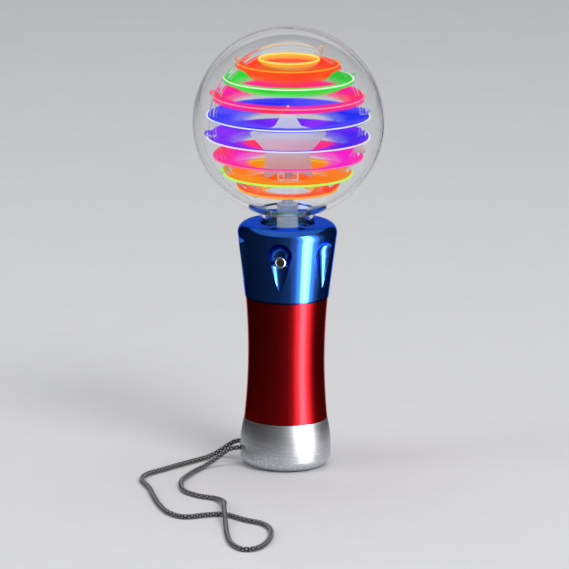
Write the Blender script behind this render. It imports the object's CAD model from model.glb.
import math
import bpy
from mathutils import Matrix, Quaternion, Vector


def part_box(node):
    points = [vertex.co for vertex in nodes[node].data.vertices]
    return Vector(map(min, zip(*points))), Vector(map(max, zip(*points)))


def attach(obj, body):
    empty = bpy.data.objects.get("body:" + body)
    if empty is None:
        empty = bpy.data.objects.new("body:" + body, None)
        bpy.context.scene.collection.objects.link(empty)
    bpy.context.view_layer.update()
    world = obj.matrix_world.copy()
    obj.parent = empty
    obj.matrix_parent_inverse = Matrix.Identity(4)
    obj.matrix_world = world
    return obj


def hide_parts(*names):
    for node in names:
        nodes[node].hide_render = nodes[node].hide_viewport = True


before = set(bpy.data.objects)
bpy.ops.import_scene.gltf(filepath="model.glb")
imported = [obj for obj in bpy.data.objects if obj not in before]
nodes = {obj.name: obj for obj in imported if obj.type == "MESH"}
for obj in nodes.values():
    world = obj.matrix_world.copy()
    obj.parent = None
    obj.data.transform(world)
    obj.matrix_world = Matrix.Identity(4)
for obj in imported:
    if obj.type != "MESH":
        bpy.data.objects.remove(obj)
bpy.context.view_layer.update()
scene = bpy.context.scene
mm = 0.001


# camera at the photograph's angle
shot = {
    "azimuth": 8.7,        # degrees to the right of the button
    "elevation": 13.2,
    "distance": 2.6,
    "aim": (0, 0, 0.0838),
    "aimSide": 0.0011,     # the wand stands this far right of the frame's middle
    "lens": 361.5,
    "sensor": 36,
    "farthest": 50,
    "roll": 0.5,           # the wand leans a little to the right
}


def placeCamera(shot):
    az, el = math.radians(shot["azimuth"]), math.radians(shot["elevation"])
    away = Vector((math.sin(az) * math.cos(el), -math.cos(az) * math.cos(el), math.sin(el)))
    turn = (-away).to_track_quat("-Z", "Y") @ Quaternion((0, 0, 1), math.radians(shot["roll"]))
    data = bpy.data.cameras.new("wandCamera")
    data.lens, data.sensor_width, data.clip_end = shot["lens"], shot["sensor"], shot["farthest"]
    camera = bpy.data.objects.new("wandCamera", data)
    camera.rotation_mode = "QUATERNION"
    camera.rotation_quaternion = turn
    side = turn @ Vector((shot["aimSide"], 0, 0))
    camera.location = Vector(shot["aim"]) + away * shot["distance"] - side
    scene.collection.objects.link(camera)
    scene.camera = camera


placeCamera(shot)
print("camera placed")


# small helpers for meshes
def newPiece(name, verts, faces, material, smooth=True):
    mesh = bpy.data.meshes.new(name)
    mesh.from_pydata([tuple(v) for v in verts], [], faces)
    mesh.update()
    mesh.materials.append(material)
    mesh.polygons.foreach_set("use_smooth", [smooth] * len(mesh.polygons))
    piece = bpy.data.objects.new(name, mesh)
    scene.collection.objects.link(piece)
    return piece


def splinePoint(a, b, c, d, t):
    return (2 * b + (c - a) * t + (2 * a - 5 * b + 4 * c - d) * t * t + (3 * b - a - 3 * c + d) * t ** 3) / 2


def smoothRoute(points, steps):
    p = [Vector(v) for v in points]
    p = [2 * p[0] - p[1]] + p + [2 * p[-1] - p[-2]]
    route = []
    for i in range(1, len(p) - 2):
        for j in range(steps):
            route.append(splinePoint(p[i - 1], p[i], p[i + 1], p[i + 2], j / steps))
    return route + [p[-2]]


def evenRoute(route, step):
    run = [0.0]
    for a, b in zip(route, route[1:]):
        run.append(run[-1] + (b - a).length)
    count = max(2, round(run[-1] / step))
    even, k = [], 0
    for i in range(count + 1):
        s = run[-1] * i / count
        while k < len(run) - 2 and run[k + 1] < s:
            k += 1
        even.append(route[k].lerp(route[k + 1], (s - run[k]) / (run[k + 1] - run[k])))
    return even, run[-1]


def carriedFrames(route):
    last = len(route) - 1
    tangents = [(route[min(i + 1, last)] - route[max(i - 1, 0)]).normalized() for i in range(last + 1)]
    side = tangents[0].cross(Vector((0, 0, 1))).normalized()
    frames = []
    for t in tangents:
        side = (side - t * side.dot(t)).normalized()
        frames.append((t, side, t.cross(side)))
    return frames


def circleAngles(sides):
    return [math.tau * k / sides for k in range(sides)]


def addTube(verts, faces, rings):
    start, sides = len(verts), len(rings[0])
    for ring in rings:
        verts.extend(ring)
    for i in range(len(rings) - 1):
        for k in range(sides):
            a, b = start + i * sides + k, start + i * sides + (k + 1) % sides
            faces.append((a, b, b + sides, a + sides))
    faces.append(tuple(start + k for k in reversed(range(sides))))
    faces.append(tuple(start + (len(rings) - 1) * sides + k for k in range(sides)))


# small helpers for finishes: one Principled shader each, with its grain on object coordinates
noiseSpan = (0.3, 0.7)     # most of a noise lies between these
fullSpan = (0.0, 1.0)
grainDepth = 0.03 * mm     # height that the bump of a grain stands for
inwardPull = 40            # how soon gloss turns inwards over a flat top


def newFinish(name):
    material = bpy.data.materials.new(name)
    material.use_nodes = True
    tree = material.node_tree
    return material, tree, tree.nodes["Principled BSDF"]


def setSockets(node, values):
    for key, value in values.items():
        node.inputs[key].default_value = value


def feedSockets(tree, node, sources):
    for key, source in sources.items():
        tree.links.new(source, node.inputs[key])


def addPlace(tree, **mapped):
    # object coordinates, moved by a Location and stretched by a Scale where these are given
    place = tree.nodes.new("ShaderNodeTexCoord").outputs["Object"]
    if not mapped:
        return place
    mapping = tree.nodes.new("ShaderNodeMapping")
    setSockets(mapping, mapped)
    tree.links.new(place, mapping.inputs["Vector"])
    return mapping.outputs["Vector"]


def addHeight(tree):
    apart = tree.nodes.new("ShaderNodeSeparateXYZ")
    tree.links.new(addPlace(tree), apart.inputs["Vector"])
    return apart.outputs["Z"]


def addAttribute(tree, name):
    attribute = tree.nodes.new("ShaderNodeAttribute")
    attribute.attribute_name = name
    return attribute.outputs["Fac"]


def addNoise(tree, scale, detail=4.0, rough=0.55, place=None):
    noise = tree.nodes.new("ShaderNodeTexNoise")
    setSockets(noise, {"Scale": scale, "Detail": detail, "Roughness": rough})
    tree.links.new(addPlace(tree) if place is None else place, noise.inputs["Vector"])
    return noise.outputs["Fac"]


def addMath(tree, operation, *values):
    node = tree.nodes.new("ShaderNodeMath")
    node.operation = operation
    for socket, value in zip(node.inputs, values):
        if isinstance(value, float):
            socket.default_value = value
        else:
            tree.links.new(value, socket)
    return node.outputs["Value"]


def addSpread(tree, source, span, result):
    spread = tree.nodes.new("ShaderNodeMapRange")
    setSockets(spread, {"From Min": span[0], "From Max": span[1], "To Min": result[0], "To Max": result[1]})
    tree.links.new(source, spread.inputs["Value"])
    return spread.outputs["Result"]


def addRamp(tree, source, tones, passing="EASE"):
    ramp = tree.nodes.new("ShaderNodeValToRGB")
    ramp.color_ramp.interpolation = passing
    stops = ramp.color_ramp.elements
    for i, (place, tone) in enumerate(tones):
        stop = stops[i] if i < 2 else stops.new(place)
        stop.position = place
        stop.color = (*tone, 1) if isinstance(tone, tuple) else (tone, tone, tone, 1)
    tree.links.new(source, ramp.inputs["Fac"])
    return ramp.outputs["Color"]


def addTone(tree, source, dark, pale, span=noiseSpan):
    return addRamp(tree, source, [(span[0], tuple(dark)), (span[1], tuple(pale))], "LINEAR")


def addBump(tree, shader, source, strength, depth=grainDepth):
    bump = tree.nodes.new("ShaderNodeBump")
    setSockets(bump, {"Strength": strength, "Distance": depth})
    tree.links.new(source, bump.inputs["Height"])
    tree.links.new(bump.outputs["Normal"], shader.inputs["Normal"])


def addUpright(tree, shader):
    # the polish runs round the handle, so gloss stretches up the walls and inwards over flat tops
    upright = addPlace(tree, Location=(0, 0, 1), Scale=(-inwardPull, -inwardPull, 0))
    tree.links.new(upright, shader.inputs["Tangent"])


# bright plating
plated = {
    "collar": {"dark": (0.035, 0.16, 0.74), "pale": (0.05, 0.20, 0.84), "edge": (0.10, 0.32, 1.0),
               "rough": (0.09, 0.13), "stretchGloss": 0.35, "coat": 0.08, "seam": 1.1 * mm},
    "grip": {"dark": (0.50, 0.003, 0.008), "pale": (0.60, 0.006, 0.014), "edge": (1.0, 0.10, 0.12),
             "rough": (0.25, 0.275), "stretchGloss": 0.7, "coat": 0.2, "seam": 0.5 * mm},
}
platedGrain = {"fleck": 5200, "cloud": 120, "seamShade": 0.06, "coatRough": 0.06}


def platedFinish(name, look, foot):
    # it goes dark in the seam at its foot
    material, tree, shader = newFinish(name)
    fleck = addNoise(tree, platedGrain["fleck"], detail=2)
    cloud = addNoise(tree, platedGrain["cloud"], detail=2)
    seam = (foot, foot + look["seam"])
    grime = tree.nodes.new("ShaderNodeMix")
    grime.data_type, grime.blend_type = "RGBA", "MULTIPLY"
    grime.inputs["Factor"].default_value = 1.0
    feedSockets(tree, grime, {
        "A": addTone(tree, fleck, look["dark"], look["pale"]),
        "B": addSpread(tree, addHeight(tree), seam, (platedGrain["seamShade"], 1.0)),
    })
    feedSockets(tree, shader, {
        "Base Color": grime.outputs["Result"],
        "Roughness": addSpread(tree, cloud, noiseSpan, look["rough"]),
    })
    setSockets(shader, {
        "Metallic": 1.0,
        "Specular Tint": (*look["edge"], 1),
        "Anisotropic": look["stretchGloss"],
        "Coat Weight": look["coat"],
        "Coat Roughness": platedGrain["coatRough"],
    })
    addUpright(tree, shader)
    return material


# push button
buttonLook = {
    "height": 98.8 * mm,    # of its middle
    "dish": 1.75 * mm,
    "rim": 1.95 * mm,
    "dark": (0.10, 0.10, 0.105), "pale": (0.76, 0.76, 0.78), "rough": (0.4, 0.1),
    "wear": 1800, "wearSpan": (0.62, 0.75), "wearMost": 0.6,
}


def buttonFinish(look):
    # polished rim round a worn dark dish
    material, tree, shader = newFinish("buttonChrome")
    length = tree.nodes.new("ShaderNodeVectorMath")
    length.operation = "LENGTH"
    tree.links.new(addPlace(tree, Location=(0, 0, -look["height"]), Scale=(1, 0, 1)), length.inputs[0])
    rim = addSpread(tree, length.outputs["Value"], (look["dish"], look["rim"]), fullSpan)
    rubbed = addNoise(tree, look["wear"], detail=3)
    worn = addSpread(tree, rubbed, look["wearSpan"], (0.0, look["wearMost"]))
    bright = addMath(tree, "MAXIMUM", rim, worn)
    feedSockets(tree, shader, {
        "Base Color": addTone(tree, bright, look["dark"], look["pale"], fullSpan),
        "Roughness": addSpread(tree, bright, fullSpan, look["rough"]),
    })
    setSockets(shader, {"Metallic": 1.0})
    return material


# base
silver = {
    "dark": (0.50, 0.51, 0.55), "pale": (0.66, 0.67, 0.71), "rough": (0.36, 0.44), "stretchGloss": 0.35,
    "rings": 900, "ringStretch": (0.06, 0.06, 1.6), "ringBump": 0.03, "ringDepth": 0.02 * mm,
    "nicks": 1700, "nickSpan": (0.645, 0.675), "nickHeights": (6 * mm, 15 * mm), "nickMetal": 0.1,
}


def silverFinish(look):
    # turned silver with fine rings, and pale nicks where it is put down
    material, tree, shader = newFinish("satinSilver")
    rings = addNoise(tree, look["rings"], detail=3, place=addPlace(tree, Scale=look["ringStretch"]))
    nicks = addNoise(tree, look["nicks"], detail=1, rough=0.4)
    found = addSpread(tree, nicks, look["nickSpan"], fullSpan)
    low = addSpread(tree, addHeight(tree), look["nickHeights"], (1.0, 0.0))
    spot = addMath(tree, "MULTIPLY", found, low)
    mix = tree.nodes.new("ShaderNodeMix")
    mix.data_type = "RGBA"
    mix.inputs["B"].default_value = (1.0, 1.0, 1.0, 1)
    feedSockets(tree, mix, {"Factor": spot, "A": addTone(tree, rings, look["dark"], look["pale"])})
    feedSockets(tree, shader, {
        "Base Color": mix.outputs["Result"],
        "Roughness": addSpread(tree, rings, noiseSpan, look["rough"]),
        "Metallic": addSpread(tree, spot, fullSpan, (1.0, look["nickMetal"])),
    })
    setSockets(shader, {"Anisotropic": look["stretchGloss"]})
    addBump(tree, shader, rings, look["ringBump"], look["ringDepth"])
    addUpright(tree, shader)
    return material


# clear plastics
clearLooks = {
    "globeClear": {"ior": 1.26, "smudge": 60, "rough": (0.0, 0.035)},
    "hoopClear": {"ior": 1.12, "smudge": 200, "rough": (0.0, 0.035)},
    "postClear": {"ior": 1.4, "smudge": 400, "rough": (0.1, 0.25)},
}
clearTint = (0.985, 0.99, 1.0)
smudgeSpan = (0.45, 0.75)
lensLook = {"mottle": 700, "tints": (0.35, 0.25), "rough": 0.12, "ior": 1.2}


def clearFinish(name, look):
    material, tree, shader = newFinish(name)
    smudge = addNoise(tree, look["smudge"], detail=6, rough=0.6)
    feedSockets(tree, shader, {
        "Base Color": addTone(tree, smudge, clearTint, (1, 1, 1)),
        "Roughness": addSpread(tree, smudge, smudgeSpan, look["rough"]),
    })
    setSockets(shader, {"Transmission Weight": 1.0, "IOR": look["ior"]})
    return material


def lensFinish(name, colour, look):
    material, tree, shader = newFinish(name)
    mottle = addNoise(tree, look["mottle"], detail=2)
    dark, pale = ([c * tint + 1 - tint for c in colour] for tint in look["tints"])
    feedSockets(tree, shader, {"Base Color": addTone(tree, mottle, dark, pale)})
    setSockets(shader, {"Roughness": look["rough"], "IOR": look["ior"], "Transmission Weight": 1.0})
    return material


# star
starLook = {
    "foot": 136 * mm, "tip": 168 * mm, "clear": 0.60, "glow": 0.05, "glowTint": (0.86, 0.88, 1.0),
    "frost": 2600, "frostBump": 0.12, "rough": (0.35, 0.55), "cloud": 70, "cloudShare": 0.24,
    "tones": [(0.0, (0.95, 0.45, 0.52)), (0.28, (0.88, 0.60, 0.70)), (0.55, (0.68, 0.70, 0.90)),
              (0.8, (0.82, 0.86, 0.96)), (1.0, (0.74, 0.80, 0.92))],
}


def starFinish(look):
    # frosted sheet that picks up the tints of the lights from foot to tip
    material, tree, shader = newFinish("starFrost")
    frost = addNoise(tree, look["frost"])
    cloud = addNoise(tree, look["cloud"], detail=3)
    share = look["cloudShare"]
    rise = addSpread(tree, addHeight(tree), (look["foot"], look["tip"]), (-share / 2, 1 - share / 2))
    drift = addMath(tree, "MULTIPLY_ADD", cloud, share, rise)
    feedSockets(tree, shader, {
        "Base Color": addRamp(tree, drift, look["tones"]),
        "Roughness": addSpread(tree, frost, noiseSpan, look["rough"]),
    })
    setSockets(shader, {
        "Alpha": look["clear"],
        "Emission Color": (*look["glowTint"], 1),
        "Emission Strength": look["glow"],
    })
    addBump(tree, shader, frost, look["frostBump"])
    return material


# wrist cord's nylon
cordTone = {
    "under": (0.003, 0.003, 0.004), "over": (0.26, 0.26, 0.27), "span": (0.94, 1.2), "rough": (0.26, 0.42),
    "fibre": 7000, "fibreShare": 0.3, "fibreBump": 0.2,
}


def cordFinish(look):
    # strands worn pale where they come over the top
    material, tree, shader = newFinish("cordBlack")
    fibre = addNoise(tree, look["fibre"], detail=2)
    mixed = addMath(tree, "MULTIPLY_ADD", fibre, look["fibreShare"], addAttribute(tree, "over"))
    feedSockets(tree, shader, {
        "Base Color": addTone(tree, mixed, look["under"], look["over"], look["span"]),
        "Roughness": addSpread(tree, fibre, noiseSpan, look["rough"]),
    })
    addBump(tree, shader, fibre, look["fibreBump"])
    return material


# plastics and metals with an even grain
grainLooks = {
    "hubWhite": {"dark": (0.60, 0.75, 0.92), "pale": (0.70, 0.83, 0.98), "grain": 700,
                 "rough": (0.22, 0.32)},
    "carrierWhite": {"dark": (0.72, 0.72, 0.70), "pale": (0.82, 0.82, 0.80), "grain": 800,
                     "rough": (0.4, 0.55)},
    "trayBlack": {"dark": (0.012, 0.012, 0.013), "pale": (0.03, 0.03, 0.032), "grain": 1500,
                  "rough": (0.45, 0.6)},
    "boardGreen": {"dark": (0.01, 0.10, 0.045), "pale": (0.02, 0.17, 0.075), "grain": 1200,
                   "rough": (0.3, 0.42)},
    "screwSteel": {"dark": (0.42, 0.42, 0.43), "pale": (0.60, 0.60, 0.61), "grain": 3000,
                   "rough": (0.25, 0.4), "bump": 0.1, "Metallic": 1.0},
    "contactBrass": {"dark": (0.60, 0.40, 0.12), "pale": (0.78, 0.58, 0.24), "grain": 2400,
                     "rough": (0.22, 0.36), "bump": 0.1, "Metallic": 1.0},
    "cellJacket": {"dark": (0.43, 0.32, 0.10), "pale": (0.48, 0.36, 0.12), "grain": 300,
                   "rough": (0.26, 0.32), "bump": 0.0, "Metallic": 0.6},
    "leadSleeve": {"dark": (0.30, 0.01, 0.01), "pale": (0.42, 0.02, 0.02), "grain": 2000,
                   "rough": (0.45, 0.6)},
    "stripFilm": {"dark": (0.75, 0.76, 0.78), "pale": (0.86, 0.87, 0.89), "grain": 1500,
                  "rough": (0.2, 0.3), "bump": 0.04, "Alpha": 0.12},
}


def grainFinish(name, dark, pale, grain, rough, bump=0.08, **constants):
    material, tree, shader = newFinish(name)
    noise = addNoise(tree, grain)
    feedSockets(tree, shader, {
        "Base Color": addTone(tree, noise, dark, pale),
        "Roughness": addSpread(tree, noise, noiseSpan, rough),
    })
    if bump:
        addBump(tree, shader, noise, bump)
    setSockets(shader, {key.replace("_", " "): value for key, value in constants.items()})
    return material


finishes = {
    "collarBlue": platedFinish("collarBlue", plated["collar"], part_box("collar")[0][2]),
    "gripRed": platedFinish("gripRed", plated["grip"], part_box("base_cup")[1][2]),
    "buttonChrome": buttonFinish(buttonLook),
    "satinSilver": silverFinish(silver),
    "starFrost": starFinish(starLook),
    "cordBlack": cordFinish(cordTone),
    **{name: clearFinish(name, look) for name, look in clearLooks.items()},
    **{name: grainFinish(name, **look) for name, look in grainLooks.items()},
}
print("finishes ready:", len(finishes))


# wrist cord, the same route as its solid, in mm
cordRoute = [
    (-13.79, -6.5, 8), (-20, -6.5, 8), (-25, -7.5, 7), (-30, -11, 3.6), (-34.5, -17.5, 1.4),
    (-38.5, -30, 1.2), (-40.5, -45, 1.2), (-37, -60, 1.2), (-29, -68, 1.2), (-20, -72, 1.4),
    (-15, -82, 2.8), (-13, -94, 4.2), (-11, -104, 3.6), (-8.5, -116, 1.6), (-5.5, -130, 1.2),
    (-1.5, -143, 1.2), (5, -151, 1.2), (11, -147, 1.2), (13.5, -134, 1.2), (12, -119, 1.2),
    (7, -109, 1.2), (-1, -104.5, 1.2), (-12, -97, 1.2), (-20, -99, 1.2), (-29, -104, 1.2),
    (-37, -98.5, 1.2), (-43.5, -86, 1.2), (-48.5, -72, 1.2), (-53, -58.5, 1.2), (-58.5, -46, 1.2),
    (-58, -36, 1.2), (-52, -26, 1.2), (-45.5, -15.5, 1.2), (-39.5, -6.5, 1.2), (-34.5, 0.5, 1.6),
    (-30, 4.5, 3.8), (-25, 6.3, 7), (-20, 6.5, 8), (-13.79, 6.5, 8),
]
cordLook = {
    "diameter": 2.4 * mm,
    "routeSteps": 10,      # points to each stretch of the route
    "ringStep": 0.27 * mm,
    "strands": 4,          # each way round
    "strandSides": 6,
    "pitch": 10.4 * mm,    # length of one turn of a strand
    "lay": 0.76 * mm,      # radius that the strands lie on
    "weave": 0.15 * mm,    # how far they go over and under
    "halfWide": 0.46 * mm,
    "halfThick": 0.27 * mm,
    "core": 0.55 * mm,
    "coreSides": 8,
    "coreEvery": 3,        # rings of a strand to one of the core
}


def strandRings(look, line, carried, step, way, strand):
    lean = math.atan(math.tau * look["lay"] / look["pitch"])
    sides = circleAngles(look["strandSides"])
    rings, lifts = [], []
    for i, (p, (t, u, v)) in enumerate(zip(line, carried)):
        turn = math.tau * i * step / look["pitch"]
        angle = way * turn + math.tau * strand / look["strands"]
        out = u * math.cos(angle) + v * math.sin(angle)
        along = (v * math.cos(angle) - u * math.sin(angle)) * way
        across = (along * math.cos(lean) - t * math.sin(lean)) * way
        lift = way * math.cos(look["strands"] * turn)
        middle = p + out * (look["lay"] + look["weave"] * lift)
        rings.append([
            middle + across * (look["halfWide"] * math.cos(a)) + out * (look["halfThick"] * math.sin(a))
            for a in sides])
        lifts.extend([lift / 2 + 0.5] * len(sides))
    return rings, lifts


def braidedCord(look):
    floorZ = look["diameter"] / 2
    inner = smoothRoute(cordRoute[1:-1], look["routeSteps"])
    points = [Vector(cordRoute[0])] + inner + [Vector(cordRoute[-1])]
    route = [Vector((v.x * mm, v.y * mm, max(v.z * mm, floorZ))) for v in points]
    line, length = evenRoute(route, look["ringStep"])
    carried = carriedFrames(line)
    step = length / (len(line) - 1)
    verts, faces, lifts = [], [], []
    for way in (1, -1):
        for strand in range(look["strands"]):
            rings, lifted = strandRings(look, line, carried, step, way, strand)
            addTube(verts, faces, rings)
            lifts.extend(lifted)
    every, sides = look["coreEvery"], circleAngles(look["coreSides"])
    addTube(verts, faces, [[p + (u * math.cos(a) + v * math.sin(a)) * look["core"] for a in sides]
                           for p, (t, u, v) in zip(line[::every], carried[::every])])
    lifts.extend([0.0] * (len(verts) - len(lifts)))
    piece = newPiece("braided_cord", verts, faces, finishes["cordBlack"])
    piece.data.attributes.new("over", "FLOAT", "POINT").data.foreach_set("value", lifts)
    return piece, route, length


cordPiece, cordLine, cordLength = braidedCord(cordLook)
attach(cordPiece, "handle")
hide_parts("wrist_cord")
print("cord laid, mm:", round(cordLength / mm, 1))


# light trails: each coloured light draws an upper and a lower ring as the hoop turns. Tints are a pair for
# each ring, other pairs are upper and lower, lengths are in mm and slopes in degrees
trails = {
    "blue": {
        "step": 0, "reach": 37.2, "slope": 10,
        "inward": (22.0, 20.0), "rim": (0.95, 0.7), "coreWide": (0.45, 0.45),
        "upper": ((0.01, 0.02, 0.92), (0.10, 0.07, 1.0)), "lower": ((0.06, 0.01, 0.88), (0.26, 0.02, 0.95)),
        "core": ((0.78, 0.84, 1.0), (0.80, 0.80, 1.0)),
    },
    "red": {
        "step": 1, "reach": 36.8, "slope": 11,
        "inward": (12.0, 19.0), "rim": (2.2, 0.7), "coreWide": (0.45, 0.3),
        "upper": ((1.0, 0.02, 0.08), (1.0, 0.01, 0.36)), "lower": ((0.95, 0.0, 0.60), (1.0, 0.03, 0.13)),
        "core": ((1.0, 0.26, 0.34), (1.0, 0.20, 0.36)),
    },
    "green": {
        "step": 2, "reach": 36.4, "slope": 3,
        "inward": (9.0, 21.0), "rim": (1.6, 0.7), "coreWide": (0.45, 0.55),
        "upper": ((0.01, 0.55, 0.02), (0.03, 0.80, 0.03)), "lower": ((1.0, 0.20, 0.0), (0.95, 0.30, 0.0)),
        "core": ((0.75, 1.0, 0.72), (0.50, 1.0, 0.10)),
    },
    "orange": {
        "step": 3, "reach": 36.4, "slope": 0,
        "inward": (10.0, 12.0), "rim": (2.4, 1.6), "coreWide": (0.45, 0.45),
        "upper": ((1.0, 0.005, 0.0), (1.0, 0.07, 0.0)), "lower": ((1.0, 0.03, 0.0), (1.0, 0.11, 0.0)),
        "core": ((1.0, 0.32, 0.02), (1.0, 0.38, 0.02)),
    },
    "yellow": {
        "step": 4, "reach": 33.4, "slope": 0,
        "inward": (3.4, 3.4), "rim": (1.1, 0.9), "coreWide": (0.5, 0.5),
        "upper": ((1.0, 0.26, 0.0), (1.0, 0.42, 0.0)), "lower": ((1.0, 0.24, 0.0), (1.0, 0.36, 0.0)),
        "core": ((1.0, 0.74, 0.08), (1.0, 0.66, 0.05)),
    },
}
trailRing = {
    "middle": 157.8 * mm,    # the rings sit a little lower than the middle of the globe
    "stepAngle": 14.7,
    "edge": 0.6,             # the fill goes this far past the ring, and the rim stays this far inside
    "bandThick": 0.06 * mm,
    "coreFlat": 0.7,
    "round": 144,
    "profileRound": 16,
    "drift": 30, "driftSpan": (0.4, 0.6),
}
# opacity from a band's inner edge to its outer edge
trailFades = {
    "fill": [(0.0, 0.0), (0.30, 0.55), (0.60, 0.92), (0.94, 0.98), (1.0, 0.0)],
    "rim": [(0.0, 0.0), (0.22, 0.65), (0.5, 0.96), (0.78, 0.65), (1.0, 0.0)],
    "core": [(0.0, 1.0), (1.0, 1.0)],
}


def trailGlow(name, tints, fade):
    material, tree, shader = newFinish(name)
    # the light is left out of reflections, where it would muddy the collar
    depth = tree.nodes.new("ShaderNodeLightPath").outputs["Glossy Depth"]
    shown = addSpread(tree, depth, fullSpan, (1.0, 0.0))
    faded = addRamp(tree, addAttribute(tree, "across"), fade)
    drift = addNoise(tree, trailRing["drift"], detail=2)
    feedSockets(tree, shader, {
        "Alpha": addMath(tree, "MULTIPLY", faded, shown),
        "Emission Color": addTone(tree, drift, *tints, trailRing["driftSpan"]),
    })
    setSockets(shader, {"Base Color": (0, 0, 0, 1), "Specular IOR Level": 0.0, "Emission Strength": 1.0})
    return material


def trailTree():
    # a circle swept with a flat lens-shaped profile that is turned by the tilt
    tree = bpy.data.node_groups.new("lightTrail", "GeometryNodeTree")
    face = tree.interface
    for label in ("Ring Radius", "Height", "Tilt", "Half Width", "Half Thickness"):
        face.new_socket(label, in_out="INPUT", socket_type="NodeSocketFloat")
    face.new_socket("Round", in_out="INPUT", socket_type="NodeSocketInt")
    face.new_socket("Material", in_out="INPUT", socket_type="NodeSocketMaterial")
    face.new_socket("Geometry", in_out="OUTPUT", socket_type="NodeSocketGeometry")
    new, link = tree.nodes.new, tree.links.new
    given, result = new("NodeGroupInput"), new("NodeGroupOutput")
    ring = new("GeometryNodeCurvePrimitiveCircle")
    link(given.outputs["Round"], ring.inputs["Resolution"])
    link(given.outputs["Ring Radius"], ring.inputs["Radius"])
    normal = new("GeometryNodeSetCurveNormal")
    normal.mode = "Z_UP"
    link(ring.outputs["Curve"], normal.inputs["Curve"])
    tilt = new("GeometryNodeSetCurveTilt")
    link(normal.outputs["Curve"], tilt.inputs["Curve"])
    link(given.outputs["Tilt"], tilt.inputs["Tilt"])
    profile = new("GeometryNodeCurvePrimitiveCircle")
    setSockets(profile, {"Resolution": trailRing["profileRound"], "Radius": 1.0})
    place = new("GeometryNodeInputPosition")
    apart = new("ShaderNodeSeparateXYZ")
    link(place.outputs["Position"], apart.inputs["Vector"])
    store = new("GeometryNodeStoreNamedAttribute")
    store.data_type, store.domain = "FLOAT", "POINT"
    store.inputs["Name"].default_value = "across"
    link(profile.outputs["Curve"], store.inputs["Geometry"])
    link(addMath(tree, "MULTIPLY_ADD", apart.outputs["X"], 0.5, 0.5), store.inputs["Value"])
    size = new("ShaderNodeCombineXYZ")
    link(given.outputs["Half Width"], size.inputs["X"])
    link(given.outputs["Half Thickness"], size.inputs["Y"])
    size.inputs["Z"].default_value = 1.0
    flat = new("GeometryNodeTransform")
    link(store.outputs["Geometry"], flat.inputs["Geometry"])
    link(size.outputs["Vector"], flat.inputs["Scale"])
    sweep = new("GeometryNodeCurveToMesh")
    link(tilt.outputs["Curve"], sweep.inputs["Curve"])
    link(flat.outputs["Geometry"], sweep.inputs["Profile Curve"])
    lift = new("ShaderNodeCombineXYZ")
    link(given.outputs["Height"], lift.inputs["Z"])
    raised = new("GeometryNodeTransform")
    link(sweep.outputs["Mesh"], raised.inputs["Geometry"])
    link(lift.outputs["Vector"], raised.inputs["Translation"])
    real = new("GeometryNodeRealizeInstances")
    link(raised.outputs["Geometry"], real.inputs["Geometry"])
    paint = new("GeometryNodeSetMaterial")
    link(real.outputs["Geometry"], paint.inputs["Geometry"])
    link(given.outputs["Material"], paint.inputs["Material"])
    link(paint.outputs["Geometry"], result.inputs["Geometry"])
    return tree


def treeMesh(tree, values):
    holder = bpy.data.objects.new("holder", bpy.data.meshes.new("holder"))
    scene.collection.objects.link(holder)
    modifier = holder.modifiers.new("made", "NODES")
    modifier.node_group = tree
    for socket in tree.interface.items_tree:
        if socket.in_out == "INPUT" and socket.name in values:
            modifier[socket.identifier] = values[socket.name]
    graph = bpy.context.evaluated_depsgraph_get()
    made = holder.evaluated_get(graph)
    mesh = bpy.data.meshes.new_from_object(made, preserve_all_data_layers=True, depsgraph=graph)
    bpy.data.objects.remove(holder)
    return mesh


def joinMeshes(name, meshes):
    parts = []
    for mesh in meshes:
        part = bpy.data.objects.new(name, mesh)
        scene.collection.objects.link(part)
        parts.append(part)
    with bpy.context.temp_override(active_object=parts[0], selected_editable_objects=parts):
        bpy.ops.object.join()
    parts[0].name = name
    return parts[0]


def trailBands(look, which, side):
    # place is the radius and height of a band's middle, and half is half its width
    rise = math.radians(side * (look["step"] + 0.5) * trailRing["stepAngle"])
    slope = rise if side > 0 else math.radians(look["slope"])    # the fill goes down towards the middle
    half = look["inward"][which] / 2
    outer, line, near = ((r * math.cos(rise), r * math.sin(rise)) for r in (
        look["reach"] + trailRing["edge"], look["reach"], look["reach"] - trailRing["edge"]))
    fill = (outer[0] - half * math.cos(slope), outer[1] - half * math.sin(slope))
    return {
        "fill": {"place": fill, "half": half, "turn": -slope},
        "rim": {"place": near, "half": look["rim"][which], "turn": math.pi / 2 - rise},
        "core": {"place": line, "half": look["coreWide"][which], "turn": -rise},
    }


def makeTrails():
    tree = trailTree()
    for colour, look in trails.items():
        meshes = []
        for which, (side, part) in enumerate(((1, "upper"), (-1, "lower"))):
            name = "trail" + colour.capitalize() + part.capitalize()
            for kind, band in trailBands(look, which, side).items():
                isCore = kind == "core"
                tints = (look["core"][which],) * 2 if isCore else look[part]
                thick = band["half"] * mm * trailRing["coreFlat"] if isCore else trailRing["bandThick"]
                meshes.append(treeMesh(tree, {
                    "Ring Radius": band["place"][0] * mm,
                    "Height": trailRing["middle"] + band["place"][1] * mm,
                    "Tilt": band["turn"],
                    "Half Width": band["half"] * mm,
                    "Half Thickness": thick,
                    "Round": trailRing["round"],
                    "Material": trailGlow(name + kind.capitalize(), tints, trailFades[kind]),
                }))
        piece = joinMeshes("light_trails_" + colour, meshes)
        piece.visible_diffuse = piece.visible_glossy = False    # the glow tints nothing round it
        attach(piece, "spinner")


makeTrails()
print("trails drawn:", len(trails))


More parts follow.
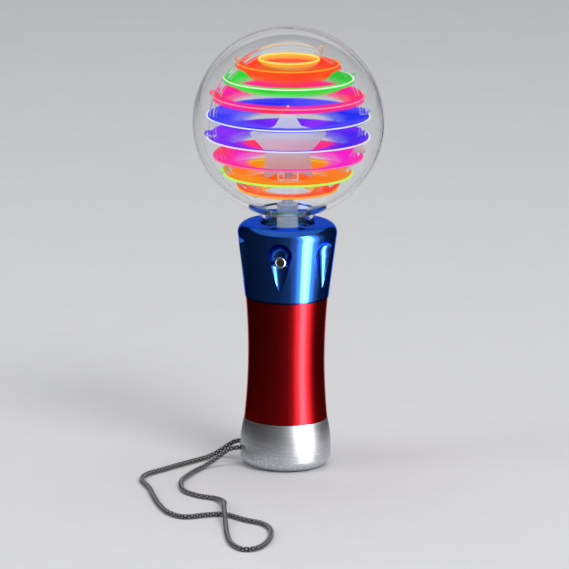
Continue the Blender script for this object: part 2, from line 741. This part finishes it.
# finishes of the solids that stay as they are
lightColours = {
    "leds_blue": (0.10, 0.16, 1.0), "leds_red": (1.0, 0.06, 0.22), "leds_green": (0.10, 0.9, 0.12),
    "leds_orange": (1.0, 0.28, 0.02), "leds_yellow": (1.0, 0.72, 0.08),
}
wornBy = {
    "collarBlue": ["collar"],
    "gripRed": ["grip_front_shell", "grip_rear_shell", "battery_door"],
    "satinSilver": ["base_cup"],
    "buttonChrome": ["power_button"],
    "globeClear": ["globe_front_half", "globe_rear_half"],
    "hoopClear": ["led_hoop"],
    "postClear": ["star_post"],
    "starFrost": ["star"],
    "hubWhite": ["spinner_hub"],
    "carrierWhite": ["motor_carrier", "motor_end_cap", "motor_strap"],
    "trayBlack": ["battery_tray", "tact_switch", "control_chip", "switch_plunger"],
    "boardGreen": ["control_board", "brush_board", "slip_disc"],
    "screwSteel": ["base_screws", "door_screws", "board_screws", "strap_screws", "motor_can", "motor_shaft",
                   "battery_springs", "battery_contacts"],
    "contactBrass": ["slip_tracks", "brush_fingers", "motor_terminals"],
    "cellJacket": ["battery_cell_1", "battery_cell_2", "battery_cell_3"],
    "leadSleeve": ["battery_leads", "motor_leads", "brush_leads"],
    "stripFilm": ["led_strip"],
    "cordBlack": ["cord_knots"],
}


def wear(name, material):
    mesh = nodes[name].data
    mesh.materials.clear()
    mesh.materials.append(material)


for finish, names in wornBy.items():
    for name in names:
        wear(name, finishes[finish])
for name, colour in lightColours.items():
    wear(name, lensFinish(name.replace("_", "") + "Lens", colour, lensLook))
for name in ("globe_front_half", "globe_rear_half", "led_hoop", "led_strip"):
    nodes[name].visible_shadow = False    # clear walls let the lamps' light in
print("solids finished")


# pale floor and soft lamps
stageLook = {
    "floorSize": 8.0, "floorTone": (0.52, 0.52, 0.525), "floorShade": 0.98, "floorGrain": 40,
    "floorRough": (0.9, 1.0), "worldTone": (0.95, 0.97, 1.0), "world": 0.55,
}
lampAim = (0, 0, 0.1)
lamps = [
    {"name": "keyLamp", "place": (0.9, -0.9, 1.3), "size": 0.8, "power": 16, "gloss": False},
    {"name": "fillLamp", "place": (-1.2, -0.6, 1.0), "size": 0.9, "power": 6, "gloss": False},
    {"name": "topLamp", "place": (0.0, 0.3, 1.8), "size": 1.6, "power": 14, "gloss": True},
]
clearBounces = 48    # the bands of the trails lie one behind another


def makeFloor(look):
    half, tone = look["floorSize"] / 2, look["floorTone"]
    corners = [(-half, -half, 0), (half, -half, 0), (half, half, 0), (-half, half, 0)]
    finish = grainFinish("paleFloor", [c * look["floorShade"] for c in tone], tone, look["floorGrain"],
                         look["floorRough"], 0.0, Specular_IOR_Level=0.0)
    newPiece("floor", corners, [(0, 1, 2, 3)], finish, smooth=False)


def lightUp(look):
    world = bpy.data.worlds.new("studio")
    world.use_nodes = True
    sky = world.node_tree.nodes["Background"]
    setSockets(sky, {"Color": (*look["worldTone"], 1), "Strength": look["world"]})
    scene.world = world


def softLamp(look):
    data = bpy.data.lights.new(look["name"], "AREA")
    data.shape, data.size, data.energy = "DISK", look["size"], look["power"]
    lamp = bpy.data.objects.new(look["name"], data)
    lamp.location = look["place"]
    lamp.rotation_euler = (Vector(lampAim) - Vector(look["place"])).to_track_quat("-Z", "Y").to_euler()
    lamp.visible_glossy = look["gloss"]    # the cards make most highlights
    lamp.visible_transmission = False
    scene.collection.objects.link(lamp)


# cards that only gloss sees: edges are radius and height, angles run to the right of the camera,
# and tones give the brightness at shares of the way round
glossCards = [
    {"name": "wrapCard", "edges": [(0.085, 0.0012), (0.20, 0.0012), (0.20, 0.30)], "angles": (-150, 150),
     "power": 14.0,
     "tones": [(0.0, 0.002), (0.25, 0.003), (0.40, 0.005), (0.51, 0.010), (0.56, 0.03), (0.608, 0.14),
               (0.638, 0.9), (0.653, 1.0), (0.668, 1.0), (0.69, 0.5), (0.715, 0.12), (0.77, 0.02),
               (0.82, 0.004), (1.0, 0.003)]},
    {"name": "nearCard", "edges": [(0.030, 0.0012), (0.085, 0.0012)], "angles": (20, 68),
     "power": 2.4,
     "tones": [(0.0, 0.10), (0.28, 0.4), (0.45, 1.0), (0.56, 1.0), (0.75, 0.4), (1.0, 0.10)]},
]
cardSteps = 72
metalWork = bpy.data.collections.new("metalWork")    # only these take the cards' light
for name in ("collar", "grip_front_shell", "grip_rear_shell", "battery_door", "base_cup", "power_button"):
    metalWork.objects.link(nodes[name])


def glossCard(look):
    verts, turns, rows = [], [], len(look["edges"])
    first, last = look["angles"]
    for i in range(cardSteps + 1):
        a = math.radians(shot["azimuth"] + first + (last - first) * i / cardSteps)
        for radius, z in look["edges"]:
            verts.append((radius * math.sin(a), -radius * math.cos(a), z))
            turns.append(i / cardSteps)
    faces = [(i * rows + k, i * rows + k + 1, i * rows + rows + k + 1, i * rows + rows + k)
             for i in range(cardSteps) for k in range(rows - 1)]
    material, tree, shader = newFinish(look["name"])
    feedSockets(tree, shader, {"Emission Color": addRamp(tree, addAttribute(tree, "turn"), look["tones"])})
    setSockets(shader, {
        "Base Color": (0, 0, 0, 1),
        "Specular IOR Level": 0.0,
        "Emission Strength": look["power"],
    })
    card = newPiece(look["name"], verts, faces, material, smooth=False)
    card.data.attributes.new("turn", "FLOAT", "POINT").data.foreach_set("value", turns)
    card.visible_camera = card.visible_diffuse = card.visible_transmission = card.visible_shadow = False
    card.light_linking.receiver_collection = metalWork


makeFloor(stageLook)
lightUp(stageLook)
for lamp in lamps:
    softLamp(lamp)
for card in glossCards:
    glossCard(card)
print("stage lit")

scene.view_settings.view_transform = "Standard"
scene.cycles.transparent_max_bounces = clearBounces
print("sizes written")
